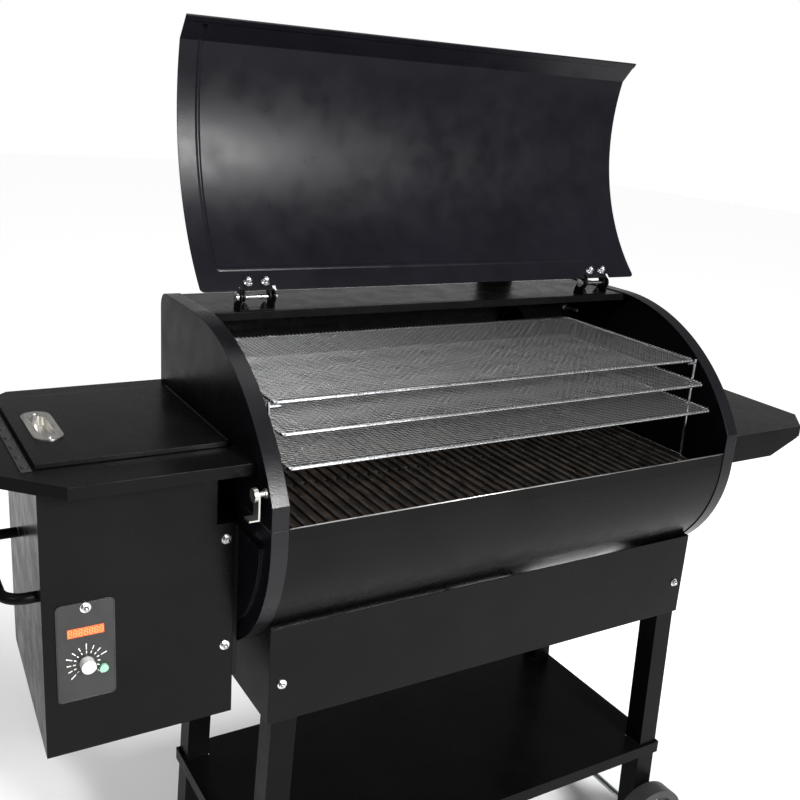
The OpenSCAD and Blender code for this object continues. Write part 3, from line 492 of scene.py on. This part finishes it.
def display_digits(mats):
    """Seven bright figures, each of seven bars."""
    low, high = (Vector(corner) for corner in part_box("display_window"))
    count = 7
    cell = (high.x - low.x) / count
    bar = 0.75 * MM
    verts, faces = [], []
    y0 = low.y - 0.25 * MM
    y1 = low.y + 0.1 * MM
    for i in range(count):
        x0 = low.x + cell * i + 1.4 * MM
        x1 = low.x + cell * (i + 1) - 1.4 * MM
        z0 = low.z + 2.2 * MM
        z1 = high.z - 2.2 * MM
        zm = (z0 + z1) / 2
        for z in (z0, zm, z1):
            add_block(verts, faces, (x0 + bar, y0, z - bar / 2), (x1 - bar, y1, z + bar / 2))
        for x in (x0, x1):
            for a, b in ((z0, zm), (zm, z1)):
                add_block(verts, faces, (x - bar / 2, y0, a + bar), (x + bar / 2, y1, b - bar))
    obj = mesh_object("display_digits", verts, faces, False)
    return finish_piece(obj, mats["display_digit"], "grill")


def panel_trim(mats):
    """A raised line round the control panel's face."""
    low, high = (Vector(corner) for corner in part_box("control_panel"))
    inset = 1.6 * MM
    flat = rim_points(Vector((low.x + inset, low.z + inset, 0)), Vector((high.x - inset, high.z - inset, 0)),
                      0.0, 6 * MM)
    rim = [Vector((p.x, low.y, p.y)) for p in flat]
    verts, faces = [], []
    add_tube(verts, faces, rim, Vector((0, 1, 0)), [0.5 * MM] * len(rim), 6)
    obj = mesh_object("panel_trim", verts, faces)
    return finish_piece(obj, mats["black_plastic"], "grill")


# ---- Lid ----


def surface_tree(node):
    """The node's mesh, ready for rays."""
    mesh = frame["nodes"][node].data
    return BVHTree.FromPolygons([v.co for v in mesh.vertices], [p.vertices for p in mesh.polygons])


def lid_ridge(mats):
    """The ridge stamped along the left side and the rear of the lid's inner face."""
    low, high = (Vector(corner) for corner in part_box("lid_shell"))
    tree = surface_tree("lid_shell")
    left = low.x + 33 * MM
    right = high.x - 22 * MM
    foot = low.z + 31 * MM
    head = high.z - 12 * MM
    turn = 9 * MM
    route = [(left, head + (foot + turn - head) * i / 60) for i in range(61)]
    route += [(left + turn * (1 - math.cos(math.radians(a))), foot + turn * (1 - math.sin(math.radians(a))))
              for a in range(15, 90, 15)]
    route += [(left + turn + (right - left - turn) * i / 90, foot) for i in range(91)]
    verts, faces = [], []
    points = []
    normals = []
    for x, z in route:
        hit, normal, _, _ = tree.ray_cast(Vector((x, low.y - 1.0, z)), Vector((0, 1, 0)))
        points.append(hit)
        normals.append(normal if normal.y < 0 else -normal)
    last = len(points) - 1
    for i, point in enumerate(points):
        along = (points[min(i + 1, last)] - points[max(i - 1, 0)]).normalized()
        side = along.cross(normals[i]).normalized()
        fade = 1.0 - 0.5 * i / last
        for across, rise in ((-4.6, -0.3), (-2.4, 1.1), (0, 2.2), (2.4, 1.1), (4.6, -0.3)):
            verts.append(point + side * (across * MM) + normals[i] * (rise * fade * MM))
    for i in range(last):
        for k in range(4):
            a = i * 5 + k
            faces.append((a, a + 1, a + 6, a + 5))
    for i in (0, last):
        faces.append(tuple(i * 5 + k for k in range(5)))
    obj = mesh_object("lid_ridge", verts, faces)
    return finish_piece(obj, mats["lid_paint"], "lid")


def sheet_edges(mats):
    """The rolled hem on the barrel's front edge, in bright metal as a painted highlight, and the seams at
    its two ends.
    """
    low, high = (Vector(corner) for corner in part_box("barrel_shell"))
    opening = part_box("end_panel_left")[1][2]
    verts, faces = [], []
    # Painted highlight: the hem tube is bright metal, standing in for the light caught on the painted edge.
    hem = [Vector((x, low.y + 0.9 * MM, opening)) for x in (low.x + 25 * MM, high.x - 25 * MM)]
    add_tube(verts, faces, hem, Vector((0, 1, 0)), [1.1 * MM] * 2, 10)
    obj = mesh_object("barrel_hem", verts, faces)
    finish_piece(obj, mats["hem_highlight_steel"], "grill")
    verts, faces = [], []
    for node, side in (("end_cap_left", 0), ("end_cap_right", 1)):
        cap_low, cap_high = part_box(node)
        x = (cap_low, cap_high)[side][0]
        seam = [Vector((x, y, opening)) for y in (cap_low[1] + 1 * MM, cap_high[1] - 1 * MM)]
        add_tube(verts, faces, seam, Vector((1, 0, 0)), [0.9 * MM] * 2, 8)
    obj = mesh_object("end_seams", verts, faces)
    finish_piece(obj, mats["rim_paint"], "grill")


def lid_nuts(mats):
    """Bright washers and domes over the cap nuts inside the lid."""
    hinge = next(j for j in frame["record"]["behaviour"]["joints"] if j["name"] == "lid_hinge")
    axis = Vector(hinge["pos_m"])
    turned = Matrix.Rotation(math.radians(-hinge["range_deg"][1]), 3, "X")
    low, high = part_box("lid_hinge_leaves")
    leaf_half = 24 * MM
    nut_half_gap = 15 * MM
    reach = (high[0] - low[0]) / 2 - leaf_half
    nut_foot = Vector((0, -16 * MM, -16.5 * MM))
    steps = ((7.9, 0.0), (7.9, -1.8), (5.9, -1.9), (5.9, -8.6), (4.6, -10.2), (2.6, -12.2), (0.6, -12.8))
    verts, faces = [], []
    for side in (-1, 1):
        for offset in (-nut_half_gap, nut_half_gap):
            start = Vector((side * reach, 0, 0)) + nut_foot + Vector((offset, 0, 0))
            add_turned(verts, faces, axis + turned @ start, turned, steps)
    obj = mesh_object("lid_nuts", verts, faces)
    return finish_piece(obj, mats["chrome"], "lid")


# ---- Studio ----

FAR_X = 0.62
FAR_Y = 0.85
NEAR_STRENGTH = 0.22


def make_floor():
    """A pale floor that glows more towards the far right, so that it reads as white behind the grill."""
    low, high = CAD_BOX
    middle_x = (low[0] + high[0]) / 2
    bpy.ops.mesh.primitive_plane_add(size=30, location=(middle_x, 4.0, low[2]))
    floor = bpy.context.object
    floor.name = "floor"
    mat = new_material("pale_floor", (0.82, 0.82, 0.82), 0.0, 0.8)
    vary(mat, "Roughness", spread(mat, noise(mat, 3.0), 0.7, 0.9))
    shader_of(mat).inputs["Emission Color"].default_value = (1.0, 1.0, 1.0, 1.0)
    place = mat.node_tree.nodes.new("ShaderNodeSeparateXYZ")
    join(mat, mat.node_tree.nodes.new("ShaderNodeNewGeometry").outputs["Position"], place.inputs["Vector"])
    glow = value_ramp(mat.node_tree, far_side(mat.node_tree, place), 0.2, 1.1, 0.0, 0.65)
    vary(mat, "Emission Strength", glow)
    paint(floor, mat)


def soft_box(name, place, target, size, power):
    data = bpy.data.lights.new(name, "AREA")
    data.shape = "RECTANGLE"
    data.size = size[0]
    data.size_y = size[1]
    data.energy = power
    lamp = bpy.data.objects.new(name, data)
    lamp.location = place
    lamp.rotation_euler = (Vector(target) - Vector(place)).to_track_quat("-Z", "Y").to_euler()
    bpy.context.scene.collection.objects.link(lamp)


def far_side(tree, parts):
    """How far a place or a direction lies towards the far right of the grill, where the view looks."""
    side = value_math(tree, "MULTIPLY_ADD", parts.outputs["X"], FAR_X, 0.0)
    return value_math(tree, "MULTIPLY_ADD", parts.outputs["Y"], FAR_Y, side)


def world_light():
    """A white cove behind the grill, dimmer overhead and all round the near side."""
    world = bpy.data.worlds.new("studio")
    world.use_nodes = True
    tree = world.node_tree
    sky = tree.nodes["Background"]
    sky.inputs["Color"].default_value = (1.0, 1.0, 1.0, 1.0)
    where = tree.nodes.new("ShaderNodeTexCoord")
    parts = tree.nodes.new("ShaderNodeSeparateXYZ")
    tree.links.new(where.outputs["Generated"], parts.inputs["Vector"])
    low = value_ramp(tree, parts.outputs["Z"], 0.11, 0.2, 1.0, 0.0)
    ahead = value_ramp(tree, far_side(tree, parts), 0.62, 0.85, 0.0, 1.0)
    cove = value_math(tree, "MULTIPLY", low, ahead)
    strength = value_math(tree, "MULTIPLY_ADD", cove, 1.0 - NEAR_STRENGTH, NEAR_STRENGTH)
    tree.links.new(strength, sky.inputs["Strength"])
    bpy.context.scene.world = world


def make_lights():
    soft_box("key", (0.4, -3.0, 2.3), (-0.1, 0, 1.2), (0.7, 0.8), 210)
    soft_box("left", (-2.6, -1.6, 2.6), (-0.3, 0, 0.9), (1.4, 1.0), 25)
    soft_box("top", (0.0, 0.8, 3.4), (0, 0, 0.9), (3.0, 1.6), 25)
    sun = bpy.data.lights.new("sun", "SUN")
    sun.energy = 0.5
    sun.angle = math.radians(50)
    bpy.context.scene.collection.objects.link(bpy.data.objects.new("sun", sun))
    world_light()
    bpy.context.scene.view_settings.view_transform = "Standard"


def make_camera():
    """A camera at the photograph's height, side and lean."""
    data = bpy.data.cameras.new("camera")
    data.sensor_width = 36.0
    data.lens = 43.69
    camera = bpy.data.objects.new("camera", data)
    yaw, pitch, roll = (math.radians(a) for a in (31.80, 17.02, 4.18))
    ahead = Vector((math.sin(yaw) * math.cos(pitch), math.cos(yaw) * math.cos(pitch), -math.sin(pitch)))
    level = Vector((math.cos(yaw), -math.sin(yaw), 0))
    above = level.cross(ahead)
    right = level * math.cos(roll) + above * math.sin(roll)
    up = above * math.cos(roll) - level * math.sin(roll)
    turn = Matrix((right, up, -ahead)).transposed().to_4x4()
    camera.matrix_world = Matrix.Translation((-0.920, -1.4178, 1.478)) @ turn
    bpy.context.scene.collection.objects.link(camera)
    bpy.context.scene.camera = camera


def build():
    mats = make_materials()
    paint_frame(mats)
    make_camera()
    for node, body in (("jerky_rack_low", "rack_low"), ("jerky_rack_middle", "rack_middle"),
                       ("jerky_rack_top", "rack_top")):
        woven_rack(node, body, mats)
    dial_marks(mats)
    display_digits(mats)
    panel_trim(mats)
    lid_ridge(mats)
    lid_nuts(mats)
    sheet_edges(mats)
    make_floor()
    make_lights()


build()
